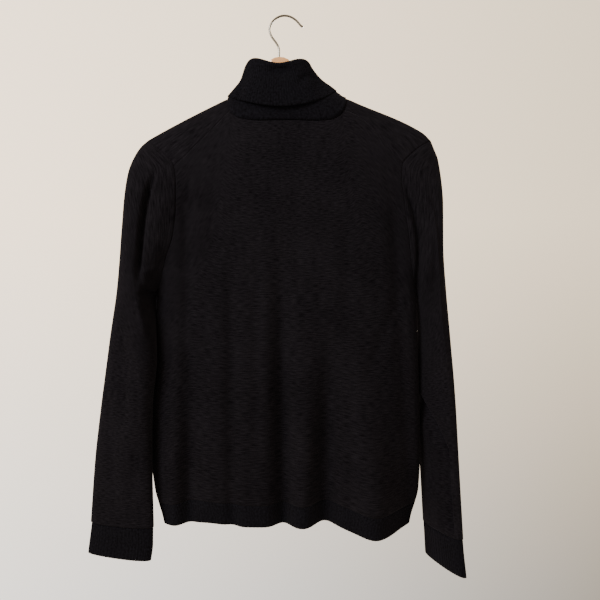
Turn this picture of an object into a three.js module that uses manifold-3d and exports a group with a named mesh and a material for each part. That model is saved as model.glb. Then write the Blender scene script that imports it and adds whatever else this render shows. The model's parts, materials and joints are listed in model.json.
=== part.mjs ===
// Turtleneck sweater seen from its back, hung on a wooden hanger. Millimetres, +Z up.
// x runs to the right of the back view and y runs away from the viewer, so the garment's back faces -y.
// The origin is the point under the top of the hook, where the hook bears on what holds it.
import * as THREE from "three";
import Module from "manifold-3d";

// Cloth
const JERSEY = 1.6;
const RIB = 2.2;
const SEAM_GAP = 0.6;
// Share of a sleeve and of the collar over which each eases away from its seam.
const ARMHOLE_EASE = 0.16;
const NECK_EASE = 0.1;
const CLOTH_COLOUR = 0x28272b;

// Body: a flattened tube that rounds over at the shoulders.
const ROUND_HEIGHT = 150;
const DEGREE = Math.PI / 180;
const RUN = ROUND_HEIGHT * DEGREE;
const BODY_SQUARE = 2.4;
const HEM_BAND = 33;
const HEM_LEVEL = -806;
const ARMPIT_Z = -442;
const CORNER_Z = -199.5;

// Sections of the body, a row for each height. Above the armpits the edges are those of the
// whole shoulder, of which the panels reach only to the armhole seams.
const BODY = [
  { z: -830, left: -187, right: 197, back: 46, front: 42 },
  { z: -800, left: -192, right: 201, back: 47, front: 43 },
  { z: -750, left: -206, right: 214.5, back: 48, front: 45 },
  { z: -690, left: -212, right: 217, back: 49, front: 47 },
  { z: -580, left: -208.5, right: 215, back: 49, front: 47 },
  { z: -442, left: -202, right: 211, back: 47, front: 45 },
  { z: -370, left: -218, right: 229, back: 46, front: 44 },
  { z: -300, left: -236, right: 248, back: 46, front: 44 },
  { z: -200, left: -252, right: 264, back: 46, front: 44 },
];

// Top line of the shoulders, level under the collar.
const RIDGE = [
  { x: -219, z: -199 },
  { x: -205, z: -191 },
  { x: -112, z: -143 },
  { x: -88, z: -132 },
  { x: -50, z: -122 },
  { x: 5, z: -119 },
  { x: 55, z: -122 },
  { x: 98, z: -131.5 },
  { x: 120, z: -140.5 },
  { x: 220, z: -185 },
  { x: 236, z: -200 },
];

// Armhole seams: how far out each lies at a height.
const ARMHOLE = [
  { z: -442, left: -202, right: 211 },
  { z: -420, left: -193, right: 205 },
  { z: -390, left: -184, right: 199 },
  { z: -350, left: -171, right: 194 },
  { z: -300, left: -166, right: 187 },
  { z: -262, left: -167, right: 183 },
  { z: -242, left: -171, right: 185 },
  { z: -229, left: -183, right: 195 },
  { z: -214, left: -199, right: 212 },
  { z: -199.5, left: -217, right: 234 },
];

// Back shoulder seams, as degrees round the shoulder from its top line, with t from armhole to neck.
const BACK_SEAM = [
  { t: 0, left: 59, right: 58 },
  { t: 0.25, left: 55, right: 49 },
  { t: 0.5, left: 50, right: 40 },
  { t: 0.75, left: 44, right: 34 },
  { t: 1, left: 35, right: 35 },
];

// Neck opening: half its width, how far it drops in degrees round the shoulder, how square its ring
// is, how far the collar is drawn in from it and how far above it the collar starts.
const NECK_DRAW_IN = 0.02;
const NECK_RISE = 1.6;
const NECK = { x: 5, half: 93, back: 50.5, front: 73, backSquare: 4.2, frontSquare: 2.6 };

// Lower edge of the sweater.
const HEM = [
  { x: -200, z: -806 },
  { x: -165, z: -802 },
  { x: -122, z: -796 },
  { x: -60, z: -801 },
  { x: 30, z: -801 },
  { x: 72, z: -797 },
  { x: 108, z: -803 },
  { x: 150, z: -810 },
  { x: 205, z: -806 },
];

// Soft folds of the back: the line each follows, its depth inwards (outwards if below zero) and width.
const BACK_FOLDS = [
  { topX: -5, topZ: -300, lowX: -2, lowZ: -640, depth: 24, width: 15 },
  { topX: 72, topZ: -470, lowX: 66, lowZ: -690, depth: 24, width: 17 },
  { topX: -125, topZ: -400, lowX: -142, lowZ: -690, depth: 13, width: 17 },
  { topX: -82, topZ: -330, lowX: -80, lowZ: -560, depth: 8, width: 11 },
  { topX: 112, topZ: -470, lowX: 142, lowZ: -815, depth: -52, width: 40 },
  { topX: -170, topZ: -520, lowX: -168, lowZ: -800, depth: -14, width: 20 },
  { topX: 35, topZ: -430, lowX: 32, lowZ: -700, depth: -8, width: 18 },
  { topX: -150, topZ: -235, lowX: -150, lowZ: -330, depth: 9, width: 12 },
  { topX: 168, topZ: -250, lowX: 176, lowZ: -380, depth: 10, width: 13 },
];
// The same on the front, which hangs against the wall.
const FRONT_FOLDS = [
  { topX: -95, topZ: -380, lowX: -112, lowZ: -690, depth: 15, width: 22 },
  { topX: 18, topZ: -330, lowX: 8, lowZ: -650, depth: 20, width: 17 },
  { topX: 104, topZ: -420, lowX: 118, lowZ: -720, depth: 17, width: 19 },
  { topX: -42, topZ: -470, lowX: -48, lowZ: -740, depth: -9, width: 20 },
  { topX: 150, topZ: -260, lowX: 165, lowZ: -420, depth: 9, width: 15 },
];

// Sleeves: rings from the armhole to the cuff. Each ring's long axis runs from its outer end to its
// inner end; half is its half thickness across that axis, dish pulls its middle towards the body.
const SLEEVE_LEFT = [
  { at: 0, outX: -218, outY: 0, outZ: -200, inX: -202.5, inY: 0, inZ: -443, half: 41, dish: 33 },
  { at: 0.03, outX: -227, outY: 0, outZ: -208, inX: -206, inY: -2, inZ: -449, half: 46, dish: 22 },
  { at: 0.07, outX: -236, outY: 0, outZ: -221, inX: -207, inY: -5, inZ: -456, half: 48, dish: 12 },
  { at: 0.13, outX: -247, outY: 0, outZ: -250, inX: -207.5, inY: -10, inZ: -464, half: 48, dish: 5 },
  { at: 0.2, outX: -252.5, outY: -2, outZ: -296, inX: -206.5, inY: -16, inZ: -473, half: 46, dish: 0 },
  { at: 0.3, outX: -256.5, outY: -3, outZ: -356, inX: -203.5, inY: -26, inZ: -487, half: 41, dish: 0 },
  { at: 0.42, outX: -260.5, outY: -4, outZ: -437, inX: -200, inY: -38, inZ: -508, half: 33, dish: 0 },
  { at: 0.54, outX: -272, outY: -5, outZ: -528, inX: -199, inY: -46, inZ: -550, half: 27, dish: 0 },
  { at: 0.66, outX: -285.5, outY: -4, outZ: -617, inX: -205, inY: -42, inZ: -622, half: 25, dish: 0 },
  { at: 0.8, outX: -298, outY: -2, outZ: -700, inX: -204, inY: -38, inZ: -700, half: 20, dish: 0 },
  { at: 1, outX: -308, outY: 2, outZ: -806, inX: -201, inY: -36, inZ: -804, half: 15, dish: 0 },
];
const SLEEVE_RIGHT = [
  { at: 0, outX: 235, outY: 0, outZ: -200, inX: 211.5, inY: 0, inZ: -443, half: 41, dish: 33 },
  { at: 0.03, outX: 240, outY: 0, outZ: -213, inX: 215.5, inY: 0, inZ: -450, half: 46, dish: 20 },
  { at: 0.07, outX: 245.5, outY: 0, outZ: -229, inX: 217, inY: 0, inZ: -457, half: 48, dish: 10 },
  { at: 0.13, outX: 248, outY: -2, outZ: -252, inX: 217, inY: 4, inZ: -466, half: 48, dish: 4 },
  { at: 0.2, outX: 250.5, outY: -5, outZ: -292, inX: 216.5, inY: 10, inZ: -476, half: 46, dish: 0 },
  { at: 0.3, outX: 250.5, outY: -12, outZ: -356, inX: 216.5, inY: 20, inZ: -492, half: 41, dish: 0 },
  { at: 0.42, outX: 254, outY: -24, outZ: -440, inX: 218, inY: 28, inZ: -516, half: 32.5, dish: 0 },
  { at: 0.54, outX: 255.5, outY: -40, outZ: -536, inX: 219, inY: 31, inZ: -562, half: 20, dish: 0 },
  { at: 0.66, outX: 259, outY: -52, outZ: -624, inX: 221.5, inY: 32, inZ: -628, half: 17, dish: 0 },
  { at: 0.8, outX: 262.5, outY: -61, outZ: -708, inX: 225.5, inY: 31, inZ: -708, half: 14, dish: 0 },
  { at: 1, outX: 267.5, outY: -68, outZ: -812, inX: 230, inY: 29, inZ: -812, half: 12, dish: 0 },
];
const CUFF_LEFT = [
  { at: 0, outX: -306, outY: 2, outZ: -807, inX: -202, inY: -36, inZ: -805, half: 14, dish: 0 },
  { at: 0.5, outX: -309, outY: 1, outZ: -830, inX: -202, inY: -36, inZ: -829, half: 12, dish: 0 },
  { at: 1, outX: -312, outY: 0, outZ: -855, inX: -205, inY: -36, inZ: -855, half: 12, dish: 0 },
];
const CUFF_RIGHT = [
  { at: 0, outX: 266.5, outY: -67, outZ: -813, inX: 231, inY: 28, inZ: -813, half: 12, dish: 0 },
  { at: 0.5, outX: 269, outY: -69, outZ: -840, inX: 232, inY: 27, inZ: -839, half: 11, dish: 0 },
  { at: 1, outX: 272, outY: -71, outZ: -868, inX: 233, inY: 26, inZ: -864, half: 11, dish: 0 },
];
const SLEEVE_SQUARE = 2.3;

// Creases of the sleeves, on the side that faces the viewer (side -1) or the wall (side 1).
const SLEEVE_LEFT_FOLDS = [
  { side: -1, topX: -203, topZ: -245, lowX: -226, lowZ: -450, depth: 19, width: 10 },
  { side: -1, topX: -190, topZ: -250, lowX: -211, lowZ: -440, depth: -8, width: 9 },
  { side: -1, topX: -243, topZ: -480, lowX: -250, lowZ: -690, depth: 6, width: 14 },
  { side: 1, topX: -225, topZ: -270, lowX: -240, lowZ: -560, depth: 12, width: 13 },
];
const SLEEVE_RIGHT_FOLDS = [
  { side: -1, topX: 238, topZ: -250, lowX: 248, lowZ: -520, depth: -9, width: 8 },
  { side: -1, topX: 224, topZ: -250, lowX: 230, lowZ: -470, depth: 9, width: 9 },
  { side: 1, topX: 240, topZ: -260, lowX: 244, lowZ: -500, depth: 12, width: 11 },
];

// Collar: rings from the neck seam up the standing layer, over the fold and down the turned layer,
// with how far each reaches, and wave for how much its quarters stand above an even ring.
const COLLAR = [
  { at: 0, left: -87, right: 97, back: 37, front: 42, wave: 0 },
  { at: 0.12, left: -82, right: 88, back: 37, front: 41, wave: 0 },
  { at: 0.28, left: -69, right: 68, back: 37, front: 39, wave: 1 },
  { at: 0.42, left: -59, right: 49, back: 38, front: 38, wave: 5 },
  { at: 0.49, left: -57, right: 44, back: 39.5, front: 39, wave: 8 },
  { at: 0.53, left: -60, right: 45, back: 42, front: 42, wave: 8 },
  { at: 0.57, left: -63.5, right: 48, back: 44.5, front: 45.5, wave: 7 },
  { at: 0.7, left: -69.5, right: 60, back: 45, front: 48, wave: 3 },
  { at: 0.85, left: -80, right: 73, back: 45.5, front: 52, wave: 0 },
  { at: 1, left: -92, right: 84, back: 46, front: 56, wave: 0 },
];
// Height of each of those rings at its left and right ends and at the middle of its back and front.
const COLLAR_HEIGHT = [
  { at: 0, left: -131, right: -133, back: -173, front: -226 },
  { at: 0.12, left: -124, right: -126, back: -158, front: -200 },
  { at: 0.28, left: -111, right: -112, back: -130, front: -152 },
  { at: 0.42, left: -96, right: -98, back: -104, front: -112 },
  { at: 0.49, left: -85, right: -88.5, back: -93.5, front: -100 },
  { at: 0.53, left: -83.5, right: -86.5, back: -91, front: -97 },
  { at: 0.57, left: -87, right: -91, back: -95, front: -101 },
  { at: 0.7, left: -104, right: -103, back: -115, front: -122 },
  { at: 0.85, left: -116.5, right: -111, back: -137, front: -147 },
  { at: 1, left: -125.5, right: -119, back: -156, front: -170 },
];

// Hanger: the bar's upper outline from left to right, then the lower one back, and the wire's path.
const BAR_THICK = 12;
const BAR_ROUND = 2.5;
const BAR_TOP = [
  { x: -203, z: -201 },
  { x: -160, z: -174 },
  { x: -112, z: -150 },
  { x: -70, z: -129 },
  { x: -40, z: -111 },
  { x: -29, z: -98 },
  { x: -25.5, z: -80 },
  { x: -21, z: -70 },
  { x: -15, z: -66.6 },
  { x: -8, z: -65.5 },
  { x: 0, z: -66.2 },
  { x: 7.5, z: -69.5 },
  { x: 11.5, z: -80 },
  { x: 15, z: -98 },
  { x: 26, z: -109 },
  { x: 60, z: -124 },
  { x: 118, z: -150 },
  { x: 170, z: -172.5 },
  { x: 215, z: -197.5 },
];
const BAR_LOW = [
  { x: 219, z: -204 },
  { x: 213, z: -210 },
  { x: 165, z: -192 },
  { x: 100, z: -164 },
  { x: 40, z: -141 },
  { x: -8, z: -131 },
  { x: -50, z: -143 },
  { x: -110, z: -170 },
  { x: -165, z: -198 },
  { x: -202, z: -214 },
  { x: -208, z: -207 },
];
const WOOD_COLOUR = 0xc49a6c;
const STEEL_COLOUR = 0xb9bbbd;
const WIRE_RADIUS = 1.7;
const WIRE_X = -8;
const SOCKET_DEPTH = 14;
const SOCKET_PLAY = 0.3;
const HEAD_Z = -65.5;
const HOOK_PATH = [
  { x: -8, z: -64 },
  { x: -8.4, z: -50 },
  { x: -12.5, z: -42 },
  { x: -20, z: -31.5 },
  { x: -23.5, z: -20 },
  { x: -18, z: -7.5 },
  { x: -9, z: -0.5 },
  { x: 0, z: 1.7 },
  { x: 10, z: 0 },
  { x: 20, z: -6.5 },
  { x: 26.5, z: -14 },
  { x: 30.5, z: -17 },
];

// Mesh counts
const PANEL_COLUMNS = 28;
const BACK_LOW_ROWS = 11;
const FRONT_LOW_ROWS = 9;
const HALF_ARMHOLE = 14;
const OVER_ROWS = 4;
const HEM_ROWS = 2;
const SLEEVE_RINGS = 18;
const CUFF_RINGS = 2;
const COLLAR_RINGS = 14;
const COLLAR_AROUND = 36;
const WIRE_STEPS = 30;

const mix = (a, b, t) => a + (b - a) * t;
const clamp = (v, low, high) => Math.min(high, Math.max(low, v));
const smooth = (v) => {
  const t = clamp(v, 0, 1);
  return t * t * (3 - 2 * t);
};
const power = (v, e) => Math.sign(v) * Math.pow(Math.abs(v), e);

// Smooth value of a table's column, without overshoot between its rows.
function columnAt(rows, key, column, at) {
  const last = rows.length - 1;
  if (at <= rows[0][key]) {
    return rows[0][column];
  }
  if (at >= rows[last][key]) {
    return rows[last][column];
  }
  let k = 0;
  while (rows[k + 1][key] < at) {
    k += 1;
  }
  const rate = (i) => (rows[i + 1][column] - rows[i][column]) / (rows[i + 1][key] - rows[i][key]);
  const slope = (i) => {
    if (i === 0) {
      return rate(0);
    }
    if (i === last) {
      return rate(last - 1);
    }
    const before = rate(i - 1);
    const after = rate(i);
    return before * after <= 0 ? 0 : (2 * before * after) / (before + after);
  };
  const span = rows[k + 1][key] - rows[k][key];
  const t = (at - rows[k][key]) / span;
  const low = rows[k][column];
  const high = rows[k + 1][column];
  const lift = t * t * (3 - 2 * t);
  return (
    low +
    (high - low) * lift +
    span * (slope(k) * t * (1 - t) * (1 - t) - slope(k + 1) * t * t * (1 - t))
  );
}

// Push of the folds at a place, positive into the garment.
function foldPush(folds, x, z) {
  let push = 0;
  for (const fold of folds) {
    const along = (fold.topZ - z) / (fold.topZ - fold.lowZ);
    const across = (x - mix(fold.topX, fold.lowX, along)) / fold.width;
    push += fold.depth * smooth(along) * Math.exp(-across * across);
  }
  return push;
}

// A crease that fades out at both ends.
function creasePush(folds, side, x, z) {
  let push = 0;
  for (const fold of folds) {
    if (fold.side === side) {
      const along = (fold.topZ - z) / (fold.topZ - fold.lowZ);
      const across = (x - mix(fold.topX, fold.lowX, along)) / fold.width;
      const ends = smooth(along * 4) * smooth((1 - along) * 2.5);
      push += fold.depth * ends * Math.exp(-across * across);
    }
  }
  return push;
}

// Drop below the shoulder's top line at a turn round it, and the turn that gives a drop.
function dropAt(turn) {
  const t = Math.abs(turn);
  return t < 90 ? ROUND_HEIGHT * (1 - Math.cos(t * DEGREE)) : ROUND_HEIGHT + (t - 90) * RUN;
}
function turnAt(drop) {
  if (drop > ROUND_HEIGHT) {
    return 90 + (drop - ROUND_HEIGHT) / RUN;
  }
  return Math.acos(1 - Math.max(drop, 0) / ROUND_HEIGHT) / DEGREE;
}

// A place on the body: turn is above zero on the back and below zero on the front.
function bodyPoint(x, turn) {
  const z = columnAt(RIDGE, "x", "z", x) - dropAt(turn);
  const left = columnAt(BODY, "z", "left", z);
  const right = columnAt(BODY, "z", "right", z);
  const across = Math.min(1, Math.abs((2 * x - left - right) / (right - left)));
  const edge = Math.pow(1 - Math.pow(across, BODY_SQUARE), 1 / BODY_SQUARE);
  const rise = Math.sin(Math.min(Math.abs(turn), 90) * DEGREE);
  const onBack = turn > 0;
  const depth = columnAt(BODY, "z", onBack ? "back" : "front", z);
  const push = foldPush(onBack ? BACK_FOLDS : FRONT_FOLDS, x, z);
  const seam = SEAM_GAP * Math.min(1, Math.abs(turn) / 20);
  const out = edge * rise * (depth - push * Math.min(1, 1.6 * edge)) + seam;
  return new THREE.Vector3(x, onBack ? -out : out, z);
}
function bodyAtHeight(x, z, side) {
  return bodyPoint(x, side * turnAt(columnAt(RIDGE, "x", "z", x) - z));
}

// Edge of a panel at a height: the side seam low down, the armhole seam above the armpit.
function panelEdge(column, z) {
  return z > ARMPIT_Z ? columnAt(ARMHOLE, "z", column, z) : columnAt(BODY, "z", column, z);
}
const spread = (u) => (1 - Math.cos(Math.PI * u)) / 2;

// A closed wall from a grid of outer points: grid[j][i], seen from outside i runs right and j up.
function wall(grid, thick, ring) {
  const rows = grid.length;
  const columns = grid[0].length;
  const at = (j, i) => grid[j][ring ? (i + columns) % columns : clamp(i, 0, columns - 1)];
  const positions = [];
  const inner = [];
  for (let j = 0; j < rows; j += 1) {
    for (let i = 0; i < columns; i += 1) {
      const across = at(j, i + 1).clone().sub(at(j, i - 1));
      const up = at(Math.min(j + 1, rows - 1), i).clone().sub(at(Math.max(j - 1, 0), i));
      const normal = across.cross(up).normalize();
      const point = grid[j][i];
      positions.push(point.x, point.y, point.z);
      inner.push(point.x - normal.x * thick, point.y - normal.y * thick, point.z - normal.z * thick);
    }
  }
  const count = rows * columns;
  const faces = [];
  const quad = (a, b, c, d) => faces.push(a, b, c, a, c, d);
  const id = (j, i) => j * columns + (i % columns);
  const steps = ring ? columns : columns - 1;
  for (let j = 0; j < rows - 1; j += 1) {
    for (let i = 0; i < steps; i += 1) {
      const a = id(j, i);
      const b = id(j, i + 1);
      const c = id(j + 1, i + 1);
      const d = id(j + 1, i);
      quad(a, b, c, d);
      quad(d + count, c + count, b + count, a + count);
    }
  }
  for (let i = 0; i < steps; i += 1) {
    const low = [id(0, i), id(0, i + 1)];
    const high = [id(rows - 1, i), id(rows - 1, i + 1)];
    quad(low[1], low[0], low[0] + count, low[1] + count);
    quad(high[0], high[1], high[1] + count, high[0] + count);
  }
  if (!ring) {
    for (let j = 0; j < rows - 1; j += 1) {
      const first = [id(j, 0), id(j + 1, 0)];
      const end = [id(j, columns - 1), id(j + 1, columns - 1)];
      quad(first[0], first[1], first[1] + count, first[0] + count);
      quad(end[1], end[0], end[0] + count, end[1] + count);
    }
  }
  const geometry = new THREE.BufferGeometry();
  geometry.setAttribute("position", new THREE.Float32BufferAttribute(positions.concat(inner), 3));
  geometry.setIndex(faces);
  geometry.computeVertexNormals();
  return geometry;
}

const gridOf = (rows, columns, place) =>
  Array.from({ length: rows + 1 }, (_, j) =>
    Array.from({ length: columns + 1 }, (__, i) => place(i / columns, j)),
  );
const ringsOf = (rings, around, place) =>
  Array.from({ length: rings + 1 }, (_, j) =>
    Array.from({ length: around }, (__, i) => place((2 * Math.PI * i) / around, j / rings)),
  );

const ridgeZ = (x) => columnAt(RIDGE, "x", "z", x);
const hemZ = (x) => columnAt(HEM, "x", "z", x);

// Where a panel's column meets a height, held clear of the armholes.
function panelX(u, z) {
  const gap = z > ARMPIT_Z ? SEAM_GAP : 0;
  return mix(panelEdge("left", z) + gap, panelEdge("right", z) - gap, spread(u));
}

// Height of the seam between a panel's column and its ribbed hem.
const bandZ = (u) => hemZ(panelX(u, HEM_LEVEL + HEM_BAND)) + HEM_BAND;

// Heights of the seam points of an armhole, from the armpit (0) to the shoulder's corner.
const armholeHeight = (k) =>
  mix(ARMPIT_Z, CORNER_Z, (1 - Math.cos((Math.PI * k) / HALF_ARMHOLE)) / 2);
const SEAM_END_Z = armholeHeight(HALF_ARMHOLE - OVER_ROWS);

// Share of a panel's height that a row has reached, with rows at the armhole's seam points.
function rowShare(j, lowRows, endZ) {
  const low = bandZ(0);
  const z = j <= lowRows ? mix(low, ARMPIT_Z, j / lowRows) : armholeHeight(j - lowRows);
  return (z - low) / (endZ - low);
}

// Ring of the neck opening as seen from above: 0 at the right, a quarter turn at the back.
function neckPlace(angle) {
  const c = Math.cos(angle);
  const s = Math.sin(angle);
  const square = s > 0 ? NECK.backSquare : NECK.frontSquare;
  const reach = Math.pow(Math.pow(Math.abs(c), square) + Math.pow(Math.abs(s), square), -1 / square);
  return { x: NECK.x + NECK.half * reach * c, turn: reach * s * (s > 0 ? NECK.back : NECK.front) };
}

// The columns of both panels are shared out the same way along the shoulders and the neck. Both
// shoulder seams meet the neck at its join, from where the front panel's neck runs over the top.
const NECK_JOIN = 0.62;
const NECK_FROM = 0.25;
function share(u) {
  const left = u < 0.5;
  const shoulder = Math.min(u, 1 - u) / NECK_FROM;
  return { left, column: left ? "left" : "right", shoulder, neck: (u - NECK_FROM) / (1 - 2 * NECK_FROM) };
}
const joinPlace = (left) => neckPlace(left ? Math.PI - NECK_JOIN : NECK_JOIN);

// A panel's edge at a height as its own column uses it.
const edgeAt = (left, z) => panelX(left ? 0 : 1, z);

// End of a shoulder column on the back seam.
function seamPlace(part) {
  const edge = edgeAt(part.left, SEAM_END_Z);
  const join = joinPlace(part.left);
  const t = part.shoulder;
  const ends = mix(turnAt(ridgeZ(edge) - SEAM_END_Z), join.turn, t);
  const plain = mix(columnAt(BACK_SEAM, "t", part.column, 0), columnAt(BACK_SEAM, "t", part.column, 1), t);
  return { x: mix(edge, join.x, t), turn: ends + columnAt(BACK_SEAM, "t", part.column, t) - plain };
}

function backPanel(u, j) {
  const part = share(u);
  const onShoulder = part.shoulder <= 1;
  const end = onShoulder ? seamPlace(part) : neckPlace(mix(Math.PI - NECK_JOIN, NECK_JOIN, part.neck));
  const topZ = ridgeZ(end.x) - dropAt(end.turn) - SEAM_GAP;
  const v = rowShare(j, BACK_LOW_ROWS, SEAM_END_Z);
  const z = mix(bandZ(u) + SEAM_GAP / 2, topZ, v);
  const edge = edgeAt(part.left, Math.min(z, SEAM_END_Z));
  const aim = onShoulder ? mix(edge, joinPlace(part.left).x, part.shoulder) : end.x;
  return bodyAtHeight(mix(panelX(u, Math.min(z, SEAM_END_Z)), aim, smooth((v - 0.5) / 0.5)), z, 1);
}

// The front panel runs up to the shoulders' top line and over it to the back shoulder seams, and in
// its middle up to the neck.
function frontPanel(u, j) {
  const part = share(u);
  const topRow = FRONT_LOW_ROWS + HALF_ARMHOLE;
  const over = Math.max(0, j - topRow) / OVER_ROWS;
  const v = rowShare(Math.min(j, topRow), FRONT_LOW_ROWS, CORNER_Z);
  const reach = smooth((v - 0.5) / 0.5);
  const low = bandZ(u) + SEAM_GAP / 2;
  const join = joinPlace(part.left);
  const neckX = NECK.x + (part.left ? -NECK.half : NECK.half);
  if (part.shoulder <= 1) {
    const t = part.shoulder;
    if (over > 0) {
      const edgeZ = armholeHeight(HALF_ARMHOLE - over * OVER_ROWS);
      const edge = edgeAt(part.left, edgeZ);
      const end = seamPlace(part);
      const lastEdge = edgeAt(part.left, SEAM_END_Z);
      const ends = mix(turnAt(ridgeZ(lastEdge) - SEAM_END_Z), join.turn, t);
      const plain = mix(turnAt(ridgeZ(edge) - edgeZ), join.turn * over, t);
      const x = mix(edge, mix(neckX, join.x, over * over), t);
      return bodyPoint(x, plain + over * (end.turn - ends));
    }
    const ridgeX = mix(edgeAt(part.left, CORNER_Z), neckX, t);
    const z = mix(low, ridgeZ(ridgeX), v);
    const aim = mix(edgeAt(part.left, Math.min(z, CORNER_Z)), neckX, t);
    return bodyAtHeight(mix(panelX(u, Math.min(z, CORNER_Z)), aim, reach), z, -1);
  }
  const end = neckPlace(mix(Math.PI - NECK_JOIN, NECK_JOIN + 2 * Math.PI, part.neck));
  const sideRidge = ridgeZ(neckX);
  const sideLow = -turnAt(sideRidge - low);
  const sideTurn = over > 0 ? join.turn * over : -turnAt((sideRidge - low) * (1 - v));
  const progress = (sideTurn - sideLow) / (join.turn - sideLow);
  const lowTurn = -turnAt(ridgeZ(end.x) - low);
  const turn = mix(lowTurn, end.turn, progress);
  const z = ridgeZ(end.x) - dropAt(turn);
  const x = mix(panelX(u, Math.min(z, CORNER_Z)), end.x, reach);
  return turn > 0 ? bodyPoint(x, turn) : bodyAtHeight(x, z, -1);
}

// Ribbed band along the hem of one side, on the same columns as the panel above it.
function hemBand(side) {
  return (u, j) => {
    const top = bandZ(u) - SEAM_GAP / 2;
    const z = mix(top - HEM_BAND, top, j / HEM_ROWS);
    return bodyAtHeight(panelX(u, z), z, side);
  };
}

// A ring of a sleeve or cuff. hand is 1 for the left sleeve and -1 for the right one.
function sleevePoint(rows, folds, hand, angle, at) {
  const read = (column) => columnAt(rows, "at", column, at);
  const out = new THREE.Vector3(read("outX"), read("outY"), read("outZ"));
  const into = new THREE.Vector3(read("inX"), read("inY"), read("inZ"));
  const centre = out.clone().add(into).multiplyScalar(0.5);
  const long = out.clone().sub(into).multiplyScalar(0.5);
  const unit = long.clone().normalize();
  const short = new THREE.Vector3(0, 1, 0).addScaledVector(unit, -unit.y).normalize();
  const c = power(Math.cos(angle), 2 / SLEEVE_SQUARE);
  const s = power(Math.sin(angle), 2 / SLEEVE_SQUARE) * hand;
  const point = centre.addScaledVector(long, c).addScaledVector(short, read("half") * s);
  point.x += hand * read("dish") * Math.sin(angle) * Math.sin(angle);
  const side = s < 0 ? -1 : 1;
  const push = creasePush(folds, side, point.x, point.z) * Math.min(1, 1.5 * Math.abs(s));
  point.y -= side * push;
  return point;
}

// The armhole as a ring that matches the panels' seams, a little outside them.
function armholePoint(hand, angle) {
  const column = hand > 0 ? "left" : "right";
  const z = mix(ARMPIT_Z, CORNER_Z, (1 + Math.cos(angle)) / 2);
  const side = Math.sin(angle) * hand < 0 ? 1 : -1;
  const x = columnAt(ARMHOLE, "z", column, z) - hand * SEAM_GAP;
  const point = bodyAtHeight(x, z, side);
  point.x = x;
  return point;
}
function sleeve(rows, folds, hand) {
  return (angle, at) => {
    const ring = sleevePoint(rows, folds, hand, angle, at);
    const rest = Math.pow(Math.max(0, 1 - at / ARMHOLE_EASE), 2);
    if (rest > 0) {
      const start = sleevePoint(rows, folds, hand, angle, 0);
      ring.add(armholePoint(hand, angle).sub(start).multiplyScalar(rest));
    }
    return ring;
  };
}

function collarPoint(angle, at) {
  const read = (column) => columnAt(COLLAR, "at", column, at);
  const c = Math.cos(angle);
  const s = Math.sin(angle);
  const square = mix(3, 2.3, smooth(at * 3));
  const reach = Math.pow(Math.pow(Math.abs(c), square) + Math.pow(Math.abs(s), square), -1 / square);
  const left = read("left");
  const right = read("right");
  const x = (left + right) / 2 + ((right - left) / 2) * reach * c;
  const y = -reach * s * read(s > 0 ? "back" : "front");
  const height = (column) => columnAt(COLLAR_HEIGHT, "at", column, at);
  const side = mix(height("left"), height("right"), (1 + reach * c) / 2);
  const end = height(s > 0 ? "back" : "front");
  const wave = read("wave") * Math.pow(Math.sin(2 * angle), 2);
  return new THREE.Vector3(x, y, mix(side, end, Math.pow(Math.abs(s), 1.7)) + wave);
}
function collar(angle, at) {
  const point = collarPoint(angle, at);
  const rest = Math.pow(Math.max(0, 1 - at / NECK_EASE), 2);
  if (rest > 0) {
    const place = neckPlace(angle);
    const seam = bodyPoint(place.x, place.turn);
    seam.z += NECK_RISE;
    seam.x = mix(seam.x, NECK.x, NECK_DRAW_IN);
    point.add(seam.sub(collarPoint(angle, 0)).multiplyScalar(rest));
  }
  return point;
}

const sweater = new THREE.Group();
sweater.name = "turtleneck_on_hanger";
function add(name, geometry, colour, roughness, metalness) {
  const material = new THREE.MeshStandardMaterial({ color: colour, roughness, metalness });
  const mesh = new THREE.Mesh(geometry, material);
  mesh.name = name;
  sweater.add(mesh);
}
const addCloth = (name, geometry) => add(name, geometry, CLOTH_COLOUR, 0.95, 0);

addCloth(
  "back_panel",
  wall(gridOf(BACK_LOW_ROWS + HALF_ARMHOLE - OVER_ROWS, PANEL_COLUMNS, backPanel), JERSEY, false),
);
const turned = (grid) => grid.map((row) => row.reverse());
const frontGrid = gridOf(FRONT_LOW_ROWS + HALF_ARMHOLE + OVER_ROWS, PANEL_COLUMNS, frontPanel);
addCloth("front_panel", wall(turned(frontGrid), JERSEY, false));
addCloth("hem_rib_back", wall(gridOf(HEM_ROWS, PANEL_COLUMNS, hemBand(1)), RIB, false));
addCloth("hem_rib_front", wall(turned(gridOf(HEM_ROWS, PANEL_COLUMNS, hemBand(-1))), RIB, false));
const tube = (rings, place, thick) => wall(ringsOf(rings, 2 * HALF_ARMHOLE, place), thick, true);
const cuff = (rows, hand) => (angle, at) => sleevePoint(rows, [], hand, angle, at);
addCloth("sleeve_left", tube(SLEEVE_RINGS, sleeve(SLEEVE_LEFT, SLEEVE_LEFT_FOLDS, 1), JERSEY));
addCloth("sleeve_right", tube(SLEEVE_RINGS, sleeve(SLEEVE_RIGHT, SLEEVE_RIGHT_FOLDS, -1), JERSEY));
addCloth("cuff_left", tube(CUFF_RINGS, cuff(CUFF_LEFT, 1), RIB));
addCloth("cuff_right", tube(CUFF_RINGS, cuff(CUFF_RIGHT, -1), RIB));
addCloth("collar", wall(ringsOf(COLLAR_RINGS, COLLAR_AROUND, collar), RIB, true));

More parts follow.
